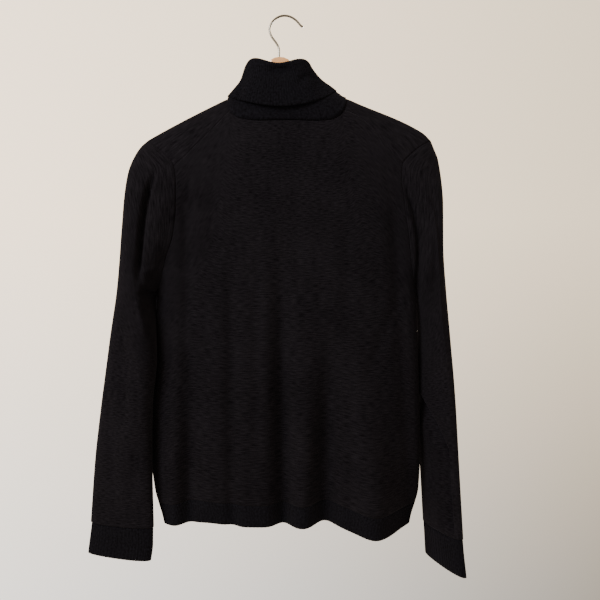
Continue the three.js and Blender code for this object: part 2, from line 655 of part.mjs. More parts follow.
// The bar: its outline cut from a board, edges rounded over, with a socket for the wire.
const wasm = await Module();
wasm.setup();
function solidOf(geometry) {
  const plain = geometry.index ? geometry.toNonIndexed() : geometry;
  const place = plain.getAttribute("position");
  const known = new Map();
  const points = [];
  const faces = [];
  for (let i = 0; i < place.count; i += 1) {
    const key = [place.getX(i), place.getY(i), place.getZ(i)].map((v) => v.toFixed(4)).join();
    if (!known.has(key)) {
      known.set(key, points.length / 3);
      points.push(place.getX(i), place.getY(i), place.getZ(i));
    }
    faces.push(known.get(key));
  }
  const mesh = new wasm.Mesh({
    numProp: 3,
    vertProperties: new Float32Array(points),
    triVerts: new Uint32Array(faces),
  });
  return new wasm.Manifold(mesh);
}
function hangerBar() {
  const line = [...BAR_TOP, ...BAR_LOW].map((p) => new THREE.Vector2(p.x, p.z));
  const shape = new THREE.Shape(line);
  const board = new THREE.ExtrudeGeometry(shape, {
    depth: BAR_THICK - 2 * BAR_ROUND,
    bevelThickness: BAR_ROUND,
    bevelSize: BAR_ROUND,
    bevelOffset: -BAR_ROUND,
    bevelSegments: 2,
  });
  board.translate(0, 0, BAR_ROUND - BAR_THICK / 2);
  board.rotateX(Math.PI / 2);
  const bore = WIRE_RADIUS + SOCKET_PLAY;
  const socket = new THREE.CylinderGeometry(bore, bore, 2 * SOCKET_DEPTH, 16);
  socket.rotateX(Math.PI / 2);
  socket.translate(WIRE_X, 0, HEAD_Z);
  const cut = solidOf(board).subtract(solidOf(socket)).getMesh();
  const geometry = new THREE.BufferGeometry();
  geometry.setAttribute("position", new THREE.BufferAttribute(cut.vertProperties, 3));
  geometry.setIndex(new THREE.BufferAttribute(cut.triVerts, 1));
  return geometry;
}
function hangerHook() {
  const foot = HEAD_Z - SOCKET_DEPTH + SOCKET_PLAY;
  const points = [new THREE.Vector3(WIRE_X, 0, foot)];
  for (const p of HOOK_PATH) {
    points.push(new THREE.Vector3(p.x, 0, p.z));
  }
  const shape = new THREE.Shape();
  shape.absarc(0, 0, WIRE_RADIUS, 0, 2 * Math.PI, false);
  return new THREE.ExtrudeGeometry(shape, {
    steps: WIRE_STEPS,
    curveSegments: 5,
    extrudePath: new THREE.CatmullRomCurve3(points),
  });
}
add("hanger_bar", hangerBar(), WOOD_COLOUR, 0.55, 0);
add("hanger_hook", hangerHook(), STEEL_COLOUR, 0.3, 1);

export default sweater;
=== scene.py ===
"""Turtleneck sweater seen from its back, hanging on a wooden hanger with a wire hook.

Sizes are in millimetres until a mesh is written, which is in metres. +Z is up, the garment's back
faces -Y and the origin is the point where the hook bears.
"""

import json
import logging
import math
from dataclasses import dataclass
from enum import Enum
from typing import Any, ClassVar, Sequence

import bpy
import numpy as np
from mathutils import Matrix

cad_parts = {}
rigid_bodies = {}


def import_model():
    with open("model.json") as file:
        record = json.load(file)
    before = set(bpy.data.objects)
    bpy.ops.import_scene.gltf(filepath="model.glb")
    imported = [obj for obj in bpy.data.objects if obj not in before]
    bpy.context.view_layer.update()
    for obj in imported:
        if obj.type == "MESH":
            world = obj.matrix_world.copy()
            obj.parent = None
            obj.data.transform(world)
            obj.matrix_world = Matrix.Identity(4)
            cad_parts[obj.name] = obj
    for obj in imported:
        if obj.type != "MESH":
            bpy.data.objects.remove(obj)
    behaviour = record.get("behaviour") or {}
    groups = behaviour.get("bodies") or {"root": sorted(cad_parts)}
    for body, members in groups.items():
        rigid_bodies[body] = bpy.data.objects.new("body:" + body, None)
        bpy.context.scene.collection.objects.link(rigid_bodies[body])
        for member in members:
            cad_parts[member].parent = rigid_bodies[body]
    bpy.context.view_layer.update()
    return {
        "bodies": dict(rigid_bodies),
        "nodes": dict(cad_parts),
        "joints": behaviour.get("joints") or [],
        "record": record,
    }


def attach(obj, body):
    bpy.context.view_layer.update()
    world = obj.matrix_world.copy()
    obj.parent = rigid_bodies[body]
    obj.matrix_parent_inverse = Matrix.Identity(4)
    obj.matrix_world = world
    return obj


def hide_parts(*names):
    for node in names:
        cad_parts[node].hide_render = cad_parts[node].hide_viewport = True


Array = np.ndarray
Triple = tuple[float, float, float]
log = logging.getLogger("sweater")

MM = 0.001
# Body: the height over which it rounds over at the shoulders, the drop for each degree beyond, how
# square its rings are, and the levels of its hem, armpits and shoulder corners.
ROUND_HEIGHT = 150.0
RUN = math.radians(ROUND_HEIGHT)
BODY_SQUARE = 2.4
HEM_LEVEL = -806.0
HEM_BAND = 33.0
ARMPIT_Z = -442.0
CORNER_Z = -199.5
# Cloth: walls of plain and ribbed knit, the gap at a seam and the turn over which it opens, how soon
# folds reach full depth from a side edge and from a wrinkle's ends, the ribs' height, and how many
# rows of points roll into a seam and how far, on most pieces and on the panels.
JERSEY = 1.5
RIB = 1.9
SEAM_GAP = 0.05
SEAM_TURN = 20.0
FOLD_FADE = 1.6
FADE_IN = 4.0
FADE_OUT = 2.5
RIB_HEIGHT = 0.6
ROLL_ROWS = 2
ROLL = 0.15
PANEL_ROLL = 0.1
# Rows of a panel up an armhole, over a shoulder and below the armpit.
HALF_ARMHOLE = 14
OVER_ROWS = 4
BACK_LOW_ROWS = 11
FRONT_LOW_ROWS = 9
# Neck: the angle at which the shoulder seams meet it, and a shoulder's share of a panel's width.
NECK_JOIN = 0.62
NECK_FROM = 0.25
# Sleeves: how square their rings are and the share of their length that is eased to the armhole.
SLEEVE_SQUARE = 2.3
ARMHOLE_EASE = 0.16
# Collar: the share of its height that is eased to the neck.
NECK_EASE = 0.1


class Side(Enum):
    """Which side of the garment a surface is on."""

    BACK = 1
    FRONT = -1


class Hand(Enum):
    """Left or right of the picture."""

    LEFT = 1
    RIGHT = -1


def mix(a: Any, b: Any, t: Any) -> Any:
    """Value between a and b at share t."""
    return a + (b - a) * t


def smooth(v: Any) -> Any:
    """Soft step from 0 to 1."""
    t = np.clip(v, 0.0, 1.0)
    return t * t * (3 - 2 * t)


def signed_power(v: Array, e: float) -> Array:
    """Power of a size, with the sign kept."""
    return np.sign(v) * np.abs(v) ** e


@dataclass(frozen=True)
class Table:
    """Rows of named columns, read smoothly and without overshoot.

    Attributes:
        names: the columns' names, the first of which is the key.
        rows: the rows, in rising order of the key.
    """

    names: str
    rows: Sequence[Sequence[float]]

    def at(self, column: str, x: Any) -> Any:
        """Reads one column.

        Args:
            column: its name.
            x: the keys to read at.

        Returns:
            The values at those keys.
        """
        names = self.names.split()
        data = np.array(self.rows, dtype=float)
        keys, vals = data[:, 0], data[:, names.index(column)]
        rate = np.diff(vals) / np.diff(keys)
        slope = np.concatenate([rate[:1], np.zeros(len(keys) - 2), rate[-1:]])
        before, after = rate[:-1], rate[1:]
        same = before * after > 0
        total = np.where(same, before + after, 1.0)
        slope[1:-1] = np.where(same, 2 * before * after / total, 0.0)
        k = np.clip(np.searchsorted(keys, x, side="right") - 1, 0, len(keys) - 2)
        span = keys[k + 1] - keys[k]
        t = np.clip((x - keys[k]) / span, 0.0, 1.0)
        lift = smooth(t)
        bend = slope[k] * t * (1 - t) ** 2 - slope[k + 1] * t * t * (1 - t)
        return vals[k] + (vals[k + 1] - vals[k]) * lift + span * bend


@dataclass(frozen=True)
class Fold:
    """One soft fold along a line in the picture's plane.

    Attributes:
        top_x, top_z, low_x, low_z: the line's ends.
        depth: how far it goes in, or out if below zero.
        width: its half width.
        side: 1 on the wall's side and -1 on the viewer's, used on sleeves.
        fades: whether it dies out at its lower end too.
    """

    top_x: float
    top_z: float
    low_x: float
    low_z: float
    depth: float
    width: float
    side: int = -1
    fades: bool = False

    def push(self, x: Array, z: Array) -> Array:
        """Depth of the fold: a bell across its line, faded in from the top.

        Args:
            x, z: the places.

        Returns:
            The depth at each place.
        """
        along = (self.top_z - z) / (self.top_z - self.low_z)
        across = (x - mix(self.top_x, self.low_x, along)) / self.width
        both = smooth(along * FADE_IN) * smooth((1 - along) * FADE_OUT)
        ends = both if self.fades else smooth(along)
        return self.depth * ends * np.exp(-across * across)


@dataclass(frozen=True)
class Wrinkle(Fold):
    """A fold that dies out at both ends."""

    fades: bool = True


@dataclass(frozen=True)
class Dent:
    """One hollow that starts at a rim and runs out below it.

    Attributes:
        x, z: the middle of its rim.
        wide, tall: its half width and its height.
        depth: how far it goes in, or out if below zero.
        rim: height over which it falls in below the rim.
        slope: how far the rim drops for each millimetre to the right.
        side: 1 on the wall's side and -1 on the viewer's, used on sleeves.
    """

    x: float
    z: float
    wide: float
    tall: float
    depth: float
    rim: float = 4.0
    slope: float = 0.0
    side: int = -1

    def push(self, x: Array, z: Array) -> Array:
        """Depth of the hollow: a bell across it, full below the rim and dying out further down.

        Args:
            x, z: the places.

        Returns:
            The depth at each place.
        """
        across = (x - self.x) / self.wide
        below = self.z - self.slope * (x - self.x) - z
        run = np.exp(-((np.maximum(below - self.rim, 0) / self.tall) ** 2))
        return self.depth * smooth(below / self.rim) * run * np.exp(-across * across)


@dataclass(frozen=True)
class Tuck:
    """Cloth that falls in behind a rim, as where one side of a sleeve folds under the other.

    Its depth grows evenly towards the rim from the left and steps back to nothing at it.

    Attributes:
        rim_x, rim_z: points of the rim from the top down.
        depth: how far it goes in beside the rim.
        reach: how far to the left of the rim it begins.
        step: width of the step at the rim.
        fades: heights over which it fades at the rim's upper and lower end.
        side: 1 on the wall's side and -1 on the viewer's.
    """

    rim_x: tuple[float, ...]
    rim_z: tuple[float, ...]
    depth: float
    reach: float
    step: float = 3.0
    fades: tuple[float, float] = (20.0, 14.0)
    side: int = -1

    def push(self, x: Array, z: Array) -> Array:
        """Depth of the tuck: a ramp towards the rim, faded at the rim's ends.

        Args:
            x, z: the places.

        Returns:
            The depth at each place.
        """
        rim = np.interp(-z, [-v for v in self.rim_z], self.rim_x)
        inside = rim - x
        ramp = np.clip(1 - (inside - self.step) / self.reach, 0.0, 1.0)
        top_fade, low_fade = self.fades
        ends = smooth((self.rim_z[0] - z) / top_fade) * smooth((z - self.rim_z[-1]) / low_fade)
        return self.depth * smooth(inside / self.step) * ramp * ends


Crease = Fold | Dent | Tuck


def folds_push(folds: Sequence[Crease], x: Array, z: Array) -> Array:
    """Adds up folds.

    Args:
        folds: the folds.
        x, z: the places.

    Returns:
        Their depth in all at each place.
    """
    total = np.zeros(np.broadcast(x, z).shape)
    for fold in folds:
        total = total + fold.push(x, z)
    return total


BODY = Table(
    "z left right back front",
    (
        (-830, -187, 197, 46, 42), (-800, -192, 201, 47, 43), (-750, -206, 214.5, 48, 45),
        (-690, -212, 217, 49, 47), (-580, -208.5, 215, 49, 47), (-442, -202, 211, 47, 45),
        (-370, -218, 229, 46, 44), (-300, -236, 248, 46, 44), (-200, -252, 264, 46, 44),
    ),
)
RIDGE = Table(
    "x z",
    (
        (-219, -199), (-205, -191), (-112, -143), (-88, -132), (-50, -122), (5, -119), (55, -122),
        (98, -131.5), (120, -140.5), (220, -185), (236, -200),
    ),
)
ARMHOLE = Table(
    "z left right",
    (
        (-442, -202, 211), (-420, -193, 205), (-390, -184, 199), (-350, -171, 194),
        (-300, -166, 187), (-262, -167, 183), (-242, -171, 185), (-229, -183, 195),
        (-214, -199, 212), (-199.5, -217, 234),
    ),
)
BACK_SEAM = Table(
    "t left right",
    ((0, 59, 58), (0.25, 55, 49), (0.5, 50, 40), (0.75, 44, 34), (1, 35, 35)),
)
HEM = Table(
    "x z",
    (
        (-200, -806), (-165, -802), (-122, -796), (-60, -801), (30, -801), (72, -797), (108, -803),
        (150, -810), (205, -806),
    ),
)
BACK_FOLDS = (
    Fold(-5, -300, -2, -640, 24, 15), Fold(72, -470, 66, -690, 24, 17),
    Fold(-125, -400, -142, -690, 13, 17), Fold(-82, -330, -80, -560, 8, 11),
    Fold(112, -470, 142, -815, -52, 40), Fold(-170, -520, -168, -800, -14, 20),
    Fold(35, -430, 32, -700, -8, 18), Fold(-150, -235, -150, -330, 9, 12),
    Fold(168, -250, 176, -380, 10, 13),
)
BACK_WRINKLES = (
    Dent(-196, -441, 9, 22, 8, rim=6), Wrinkle(-160, -420, -105, -560, 3.2, 9),
    Wrinkle(-178, -455, -118, -640, 3.0, 10), Wrinkle(185, -430, 120, -600, 3.4, 10),
    Wrinkle(-40, -350, -44, -780, 2.4, 9), Wrinkle(24, -240, 20, -520, 1.8, 12),
    Wrinkle(96, -300, 98, -560, 2.2, 11), Wrinkle(-108, -260, -112, -470, 1.8, 10),
    Wrinkle(100, -560, 104, -830, 4.0, 8), Wrinkle(-62, -200, -40, -300, 1.6, 12),
    Wrinkle(70, -190, 48, -300, 1.8, 12),
)
FRONT_FOLDS = (
    Fold(-95, -380, -112, -690, 15, 22), Fold(18, -330, 8, -650, 20, 17),
    Fold(104, -420, 118, -720, 17, 19), Fold(-42, -470, -48, -740, -9, 20),
    Fold(150, -260, 165, -420, 9, 15),
)
FRONT_WRINKLES = (
    Wrinkle(-150, -430, -90, -600, 3.0, 9), Wrinkle(165, -420, 110, -590, 3.2, 10),
    Wrinkle(-10, -250, -16, -480, 2.0, 12), Wrinkle(60, -300, 62, -620, 2.4, 10),
    Wrinkle(-70, -280, -76, -520, 2.0, 10),
)
RING_NAMES = "at outX outY outZ inX inY inZ half dish"
SLEEVE_LEFT = Table(
    RING_NAMES,
    (
        (0, -218, 0, -200, -202.5, 0, -443, 41, 33),
        (0.03, -227, 0, -208, -204.5, 5, -449, 46, 22),
        (0.07, -236, 0, -221, -205, 6, -456, 48, 12),
        (0.13, -247, 0, -250, -205, 4, -464, 48, 5),
        (0.2, -252.5, -2, -296, -203.8, 0, -473, 46, 0),
        (0.3, -256.5, -3, -356, -201.8, -19, -487, 41, 0),
        (0.42, -260.5, -4, -437, -200, -38, -508, 33, 0),
        (0.54, -272, -5, -528, -199, -46, -550, 27, 0),
        (0.66, -285.5, -4, -617, -205, -42, -622, 25, 0),
        (0.8, -298, -2, -700, -204, -38, -700, 20, 0),
        (1, -308, 2, -806, -201, -36, -804, 15, 0),
    ),
)
SLEEVE_RIGHT = Table(
    RING_NAMES,
    (
        (0, 235, 0, -200, 211.5, 0, -443, 41, 33),
        (0.03, 240, 0, -213, 213.5, 5, -450, 46, 20),
        (0.07, 245.5, 0, -229, 214, 8, -457, 48, 10),
        (0.13, 248, -2, -252, 214.5, 10, -466, 48, 4),
        (0.2, 250.5, -5, -292, 215.5, 13, -476, 46, 0),
        (0.3, 250.5, -12, -356, 216.5, 20, -492, 41, 0),
        (0.42, 254, -24, -440, 218, 28, -516, 32.5, 0),
        (0.54, 255.5, -40, -536, 219, 31, -562, 20, 0),
        (0.66, 259, -52, -624, 221.5, 32, -628, 17, 0),
        (0.8, 262.5, -61, -708, 225.5, 31, -708, 14, 0),
        (1, 267.5, -68, -812, 230, 29, -812, 12, 0),
    ),
)
CUFF_LEFT = Table(
    RING_NAMES,
    (
        (0, -306, 2, -806.5, -202, -36, -804.5, 14, 0),
        (0.5, -309, 1, -830, -202, -36, -829, 12, 0),
        (1, -312, 0, -855, -205, -36, -855, 12, 0),
    ),
)
CUFF_RIGHT = Table(
    RING_NAMES,
    (
        (0, 266.5, -67, -812.5, 231, 28, -812.5, 12, 0),
        (0.5, 269, -69, -840, 232, 27, -839, 11, 0),
        (1, 272, -71, -868, 233, 26, -864, 11, 0),
    ),
)
SLEEVE_LEFT_FOLDS = (
    Wrinkle(-213, -240, -223, -450, 14, 4.2), Wrinkle(-190, -250, -204, -440, -3, 11),
    Wrinkle(-243, -480, -250, -690, 6, 14), Wrinkle(-225, -270, -240, -560, 12, 13, side=1),
    Dent(-207, -438, 9, 34, 17, rim=4, slope=-0.12), Wrinkle(-221, -446, -204, -520, -6, 6),
    Wrinkle(-208, -400, -216, -446, -5, 12), Wrinkle(-272, -560, -262, -800, 2.6, 9),
    Wrinkle(-226, -640, -232, -800, 2.4, 10), Wrinkle(-244, -300, -252, -420, 2.2, 9),
    Wrinkle(-232, -520, -218, -640, 2.4, 8), Wrinkle(-270, -560, -262, -780, 3.0, 12, side=1),
)
SLEEVE_RIGHT_FOLDS = (
    Wrinkle(238, -250, 248, -520, -6, 8), Wrinkle(203, -228, 214, -560, 12, 6),
    Wrinkle(221, -250, 228, -470, -4, 9), Wrinkle(240, -260, 244, -500, 12, 11, side=1),
    Tuck((209, 238, 251, 254, 258), (-583, -650, -680, -740, -804), 15, 15, step=1.6),
    Wrinkle(224, -262, 268, -690, -5, 2.6), Wrinkle(238, -520, 240, -780, 2.6, 8),
    Wrinkle(250, -560, 250, -780, 3.0, 9, side=1),
)
COLLAR = Table(
    "at left right back front sideL sideR backZ frontZ wave",
    (
        (0, -87, 97, 37, 42, -131, -133, -173, -226, 0),
        (0.12, -82, 88, 37, 41, -124, -126, -158, -200, 0),
        (0.28, -69, 68, 37, 39, -111, -112, -130, -152, 1),
        (0.42, -59, 49, 38, 38, -96, -98, -104, -112, 5),
        (0.49, -57, 43, 39.5, 39, -82.5, -87, -91.5, -99, 8),
        (0.53, -59, 44, 42, 42, -81, -85, -88.5, -95.5, 8),
        (0.57, -62, 46.5, 44.5, 45.5, -84.5, -89.5, -92.5, -99.5, 7),
        (0.7, -69.5, 60, 45, 48, -104, -103, -115, -122, 3),
        (0.85, -81, 73, 45.5, 52, -118, -111, -137, -147, 0),
        (1, -90, 84, 46, 56, -128, -119, -156, -170, 0),
    ),
)
COLLAR_BACK = (
    Dent(-6, -92, 17, 13, 6.5, rim=7), Dent(31, -104, 9, 10, 3.5, rim=6, slope=-0.5),
    Wrinkle(-60, -98, -71, -150, 2.6, 6), Wrinkle(42, -98, 62, -140, 2.2, 8),
)
COLLAR_FRONT = (
    Dent(10, -106, 20, 18, 5.0, rim=8), Wrinkle(-48, -104, -58, -160, 2.6, 8),
    Wrinkle(50, -104, 58, -160, 2.4, 8),
)


@dataclass(frozen=True)
class BodyForm:
    """The body's tube, which rounds over at the shoulders, and the seams that lie on it.

    Attributes:
        neck_x, neck_half: middle and half width of the neck opening.
        neck_back, neck_front: degrees that it drops round the shoulders behind and in front.
        neck_back_square, neck_front_square: how square its ring is behind and in front.
    """

    neck_x: float = 5.0
    neck_half: float = 93.0
    neck_back: float = 50.5
    neck_front: float = 73.0
    neck_back_square: float = 4.2
    neck_front_square: float = 2.6

    def drop(self, turn: Array) -> Array:
        """Drop below the shoulders' top line at a turn round it."""
        arc = 1 - np.cos(np.radians(np.minimum(np.abs(turn), 90)))
        return ROUND_HEIGHT * arc + np.maximum(0, np.abs(turn) - 90) * RUN

    def turn(self, drop: Array) -> Array:
        """Turn round the top line that gives a drop."""
        part = np.clip(1 - np.clip(drop, 0, ROUND_HEIGHT) / ROUND_HEIGHT, 0, 1)
        return np.where(
            drop > ROUND_HEIGHT, 90 + (drop - ROUND_HEIGHT) / RUN, np.degrees(np.arccos(part))
        )

    def point(self, x: Array, turn: Array) -> Array:
        """Places on the body.

        Args:
            x: how far to the right.
            turn: degrees round the top line, above zero on the back.

        Returns:
            An array of points, with x, y and z last.
        """
        z = RIDGE.at("z", x) - self.drop(turn)
        left, right = BODY.at("left", z), BODY.at("right", z)
        across = np.minimum(1, np.abs((2 * x - left - right) / (right - left)))
        edge = (1 - across**BODY_SQUARE) ** (1 / BODY_SQUARE)
        rise = np.sin(np.radians(np.minimum(np.abs(turn), 90)))
        back = turn > 0
        depth = np.where(back, BODY.at("back", z), BODY.at("front", z))
        rear = folds_push(BACK_FOLDS + BACK_WRINKLES, x, z)
        fore = folds_push(FRONT_FOLDS + FRONT_WRINKLES, x, z)
        push = np.where(back, rear, fore) * np.minimum(1, FOLD_FADE * edge)
        seam = SEAM_GAP * np.minimum(1, np.abs(turn) / SEAM_TURN)
        out = edge * rise * (depth - push) + seam
        return np.stack(np.broadcast_arrays(x, np.where(back, -out, out), z), axis=-1)

    def at_height(self, x: Array, z: Array, side: Side) -> Array:
        """Places on one side of the body at x and z."""
        return self.point(x, side.value * self.turn(RIDGE.at("z", x) - z))

    def edge(self, column: str, z: Array) -> Array:
        """Edge of a panel: the side seam, or the armhole above the armpit."""
        return np.where(z > ARMPIT_Z, ARMHOLE.at(column, z), BODY.at(column, z))

    def panel_x(self, u: Array, z: Array) -> Array:
        """Where a panel's column meets a height.

        Args:
            u: the column's share of the panel's width.
            z: the height.

        Returns:
            How far to the right each place is.
        """
        gap = np.where(z > ARMPIT_Z, SEAM_GAP, 0.0)
        spread = (1 - np.cos(np.pi * u)) / 2
        return mix(self.edge("left", z) + gap, self.edge("right", z) - gap, spread)

    def band_z(self, u: Array) -> Array:
        """Height of the seam between a panel's column and its hem."""
        return HEM.at("z", self.panel_x(u, np.full_like(u, HEM_BAND + HEM_LEVEL))) + HEM_BAND

    def armhole_height(self, k: Array) -> Array:
        """Height of a seam point of an armhole, from the armpit (0) up."""
        return mix(ARMPIT_Z, CORNER_Z, (1 - np.cos(np.pi * k / HALF_ARMHOLE)) / 2)

    @property
    def seam_end_z(self) -> float:
        """Height at which the back shoulder seams meet the armholes."""
        return float(self.armhole_height(np.float64(HALF_ARMHOLE - OVER_ROWS)))

    def row_share(self, j: Array, low_rows: int, end_z: float) -> Array:
        """Share of a panel's height that a row has reached.

        Args:
            j: the row, which may fall between two.
            low_rows: rows below the armpit.
            end_z: height of the last row.

        Returns:
            The share of each row.
        """
        low = self.band_z(np.zeros(1))[0]
        up = self.armhole_height(np.maximum(j - low_rows, 0))
        z = np.where(j <= low_rows, mix(low, ARMPIT_Z, j / low_rows), up)
        return (z - low) / (end_z - low)

    def neck_place(self, angle: Array) -> tuple[Array, Array]:
        """Ring of the neck, a squared ellipse.

        Args:
            angle: 0 at the right and a quarter turn behind.

        Returns:
            x and turn of each point.
        """
        c, s = np.cos(angle), np.sin(angle)
        square = np.where(s > 0, self.neck_back_square, self.neck_front_square)
        reach = (np.abs(c) ** square + np.abs(s) ** square) ** (-1 / square)
        turn = reach * s * np.where(s > 0, self.neck_back, self.neck_front)
        return self.neck_x + self.neck_half * reach * c, turn

    def join_place(self, left: Array) -> tuple[Array, Array]:
        """x and turn of the points where a shoulder seam meets the neck."""
        return self.neck_place(np.where(left, np.pi - NECK_JOIN, NECK_JOIN))

    def edge_at(self, left: Array, z: Array) -> Array:
        """A panel's edge on one side, as its own outermost column uses it."""
        return self.panel_x(np.where(left, 0.0, 1.0), z)

    def seam_place(self, left: Array, t: Array) -> tuple[Array, Array]:
        """End of a shoulder's column on the back seam.

        Args:
            left: whether it is on the left.
            t: its share of the way from the armhole to the neck.

        Returns:
            x and turn of each end.
        """
        end_z = np.full_like(t, self.seam_end_z)
        edge = self.edge_at(left, end_z)
        join_x, join_turn = self.join_place(left)
        ends = mix(self.turn(RIDGE.at("z", edge) - end_z), join_turn, t)
        mid, first, last = (
            np.where(left, BACK_SEAM.at("left", at), BACK_SEAM.at("right", at)) for at in (t, 0.0, 1.0)
        )
        return mix(edge, join_x, t), ends + mid - mix(first, last, t)


BODY_FORM = BodyForm()


def add_object(name: str, data: Any) -> bpy.types.Object:
    """Adds an object to the scene.

    Args:
        name: its name.
        data: its mesh, light or camera.

    Returns:
        The object.
    """
    obj = bpy.data.objects.new(name, data)
    bpy.context.scene.collection.objects.link(obj)
    return obj


def sheet_rows(last: float, rows: int, columns: int) -> list[Array]:
    """Places of a sheet's points: from 0 to the last value up it, and from 0 to 1 across it."""
    up, across = np.linspace(0, last, rows + 1), np.linspace(0, 1, columns + 1)
    return np.meshgrid(up, across, indexing="ij")


def tube_rows(rows: int, around: int) -> list[Array]:
    """Places of a tube's points: the share of its length, and the angle round it."""
    along, angle = np.linspace(0, 1, rows + 1), np.linspace(0, 2 * np.pi, around, endpoint=False)
    return np.meshgrid(along, angle, indexing="ij")


def grid_normals(grid: Array, ring: bool) -> Array:
    """Normals of a grid: its slope along the rows crossed with that up the columns.

    Args:
        grid: rows of points.
        ring: whether each row closes on itself.

    Returns:
        Vectors of length 1.
    """
    if ring:
        wide = np.concatenate([grid[:, -1:], grid, grid[:, :1]], axis=1)
        across = wide[:, 2:] - wide[:, :-2]
    else:
        across = np.gradient(grid, axis=1)
    normal = np.cross(across, np.gradient(grid, axis=0))
    return normal / np.maximum(np.linalg.norm(normal, axis=-1, keepdims=True), 1e-9)


def wall_faces(rows: int, cols: int, ring: bool) -> tuple[Array, int]:
    """Four-sided faces of a wall whose inner points follow its outer ones.

    Args:
        rows, cols: size of the grid.
        ring: whether each row closes on itself.

    Returns:
        The faces, and how many of them are on the two broad sides, which come first.
    """
    count = rows * cols
    steps = cols if ring else cols - 1
    j, i = np.meshgrid(np.arange(rows - 1), np.arange(steps), indexing="ij")
    i2 = (i + 1) % cols
    a, b, c, d = j * cols + i, j * cols + i2, (j + 1) * cols + i2, (j + 1) * cols + i
    quads = [np.stack([a, b, c, d], -1).reshape(-1, 4)]
    quads.append(np.stack([d, c, b, a], -1).reshape(-1, 4) + count)
    k = np.arange(steps)
    k2 = (k + 1) % cols
    top = (rows - 1) * cols
    quads.append(np.stack([k2, k, k + count, k2 + count], -1))
    quads.append(np.stack([top + k, top + k2, top + k2 + count, top + k + count], -1))
    if not ring:
        m = np.arange(rows - 1) * cols
        n = m + cols - 1
        quads.append(np.stack([m, m + cols, m + cols + count, m + count], -1))
        quads.append(np.stack([n + cols, n, n + count, n + cols + count], -1))
    return np.concatenate(quads).astype(np.int32), 2 * (rows - 1) * steps


def flat_places(grid: Array, ring: bool) -> Array:
    """Flat place of each point: mean length along the rows and up the columns.

    Args:
        grid: rows of points.
        ring: whether each row closes on itself.

    Returns:
        Places in millimetres, with one column more on a ring.
    """
    closed = np.concatenate([grid, grid[:, :1]], axis=1) if ring else grid
    step = np.linalg.norm(np.diff(closed, axis=1), axis=-1).mean(axis=0)
    rise = np.linalg.norm(np.diff(grid, axis=0), axis=-1).mean(axis=1)
    across = np.concatenate([[0], np.cumsum(step)])
    up = np.concatenate([[0], np.cumsum(rise)])
    return np.stack(np.broadcast_arrays(across[None, :], up[:, None]), axis=-1)


def corner_places(grid: Array, faces: Array, ring: bool) -> Array:
    """Flat place of each face's corners, which run on past the end where a ring closes.

    Args:
        grid: rows of points.
        faces: the wall's faces.
        ring: whether each row closes on itself.

    Returns:
        Places in millimetres.
    """
    rows, cols = grid.shape[:2]
    flat = flat_places(grid, ring)
    point = faces % (rows * cols)
    places = flat[:, :cols].reshape(-1, 2)[point.ravel()]
    if ring:
        column = point % cols
        wraps = (column.max(axis=1) == cols - 1) & (column.min(axis=1) == 0)
        first = (column == 0) & wraps[:, None]
        places[first.ravel(), 0] += flat[0, -1, 0] - flat[0, 0, 0]
    return places


def wall_mesh(
    name: str, grid: Array, thick: float, ring: bool, relief: Array
) -> bpy.types.Object:
    """Makes a closed wall of cloth from a grid of outer points.

    The inner face lies one thickness along the grid's normals, and rims close the open edges.

    Args:
        name: the object's name.
        grid: rows of points; seen from outside a row runs right and the rows go up.
        thick: the wall's thickness.
        ring: whether each row closes on itself.
        relief: how far each outer point stands out of the grid.

    Returns:
        The object, in metres, with its flat places as a UV map.
    """
    normal = grid_normals(grid, ring)
    outer, inner = grid + normal * relief[..., None], grid - normal * thick
    points = np.concatenate([outer.reshape(-1, 3), inner.reshape(-1, 3)]) * MM
    faces, broad = wall_faces(*grid.shape[:2], ring)
    mesh = bpy.data.meshes.new(name)
    mesh.vertices.add(len(points))
    mesh.vertices.foreach_set("co", points.astype(np.float32).ravel())
    mesh.loops.add(faces.size)
    mesh.loops.foreach_set("vertex_index", faces.ravel())
    mesh.polygons.add(len(faces))
    mesh.polygons.foreach_set("loop_start", np.arange(0, faces.size, 4, dtype=np.int32))
    mesh.polygons.foreach_set("loop_total", np.full(len(faces), 4, dtype=np.int32))
    mesh.polygons.foreach_set("use_smooth", np.arange(len(faces)) < broad)
    places = corner_places(grid, faces, ring) * MM
    layer = mesh.uv_layers.new(name="cloth")
    layer.data.foreach_set("uv", places.astype(np.float32).ravel())
    mesh.update(calc_edges=True)
    return add_object(name, mesh)


class Num:
    """A float socket of a shader with arithmetic."""

    def __init__(self, kit: "NodeKit", socket: Any) -> None:
        """Keeps the node kit and the socket or number."""
        self.kit = kit
        self.socket = socket

    def math(self, operation: str, *others: Any) -> "Num":
        """Applies a Math node with this value first.

        Args:
            operation: the node's operation.
            others: its other values, each a Num or a number.

        Returns:
            The result.
        """
        values = dict(enumerate((self, *others)))
        node = self.kit.node("ShaderNodeMath", {"operation": operation}, values)
        return Num(self.kit, node.outputs[0])

    def clamped(self) -> "Num":
        """Keeps the value between 0 and 1."""
        return self.math("MAXIMUM", 0.0).math("MINIMUM", 1.0)

    def __add__(self, other: Any) -> "Num":
        """Sum."""
        return self.math("ADD", other)

    def __mul__(self, other: Any) -> "Num":
        """Product."""
        return self.math("MULTIPLY", other)

    def __sub__(self, other: Any) -> "Num":
        """Difference."""
        return self.math("SUBTRACT", other)


